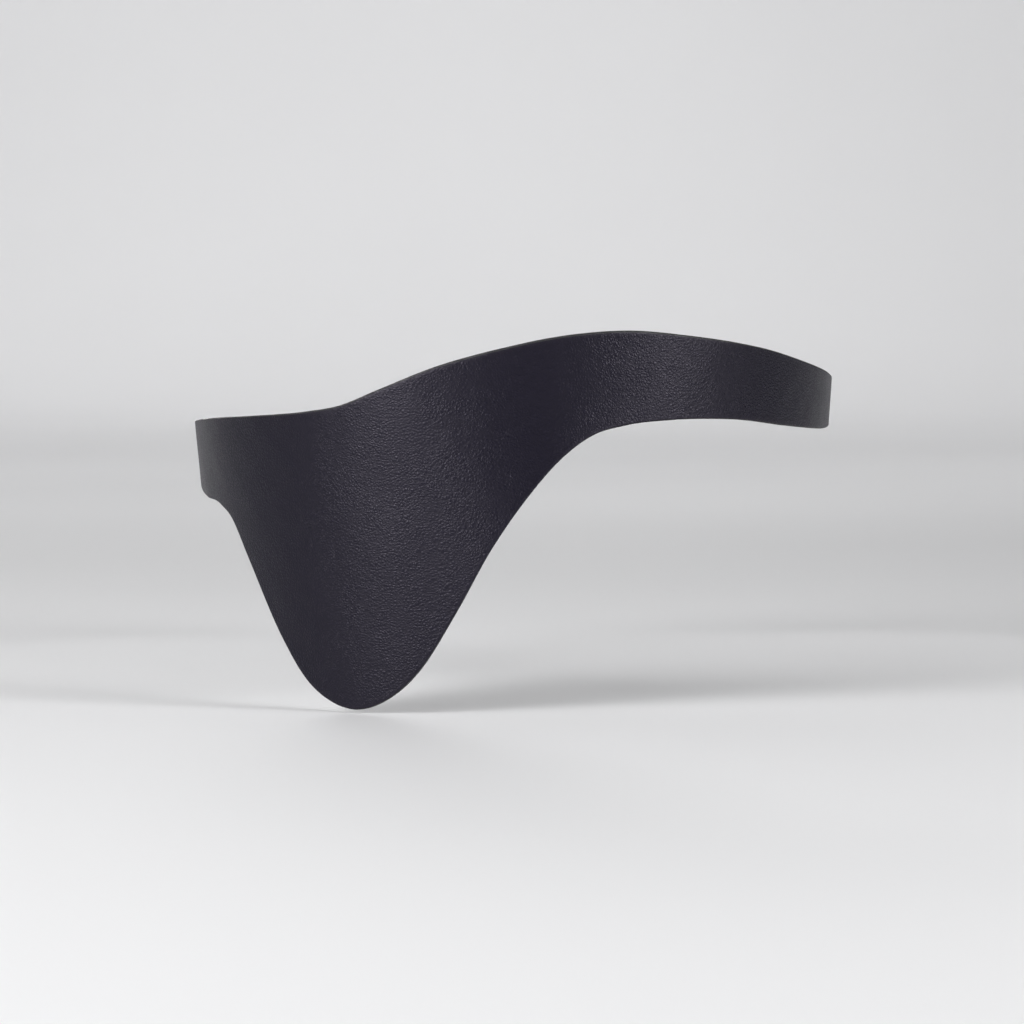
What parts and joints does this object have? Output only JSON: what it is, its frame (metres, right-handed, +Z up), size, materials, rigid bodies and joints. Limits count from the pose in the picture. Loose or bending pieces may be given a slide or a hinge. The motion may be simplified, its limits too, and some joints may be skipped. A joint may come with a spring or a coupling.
{
  "type": "eye patch",
  "caption": "One-piece leather eye patch that wraps the whole head: broad lobe over the right eye, narrow band over the brow and temples, press-stud closure at the back.",
  "frame": {"origin": "centre of the head loop, level with the lower edge of the band over the left temple", "axes": "+Z up as worn, -Y is the way the wearer looks, +X towards the wearer's left; the lobe covers the right eye, on the -X side"},
  "size_m": [0.1641, 0.1948, 0.0914],
  "materials": {
    "grain_leather": "black fine pebble grain, satin",
    "suede_lining": "black microfibre suede, matt",
    "black_nickel": "black-nickel plated, satin",
    "spring_wire": "bright drawn wire"
  },
  "bodies": {
    "band": {"leather_shell": "grain_leather", "shell_lining": "suede_lining", "stud_1": "black_nickel", "stud_2": "black_nickel", "stud_3": "black_nickel", "stud_4": "black_nickel", "stud_post_1": "black_nickel", "stud_post_2": "black_nickel", "stud_post_3": "black_nickel", "stud_post_4": "black_nickel"},
    "flap": {"flap_leather": "grain_leather", "flap_lining": "suede_lining", "snap_cap_1": "black_nickel", "snap_cap_2": "black_nickel", "snap_socket_1": "black_nickel", "snap_socket_2": "black_nickel", "socket_spring_1": "spring_wire", "socket_spring_2": "spring_wire"}
  },
  "joints": [
    {"name": "flap_peel", "type": "hinge", "parent": "band", "child": "flap", "pos_m": [-0.03627, 0.08956, -0.0026], "axis": [-0.0549, 0.0863, 0.9948], "range_deg": [0, 75], "deforming": ["socket_spring_1", "socket_spring_2"]}
  ]
}
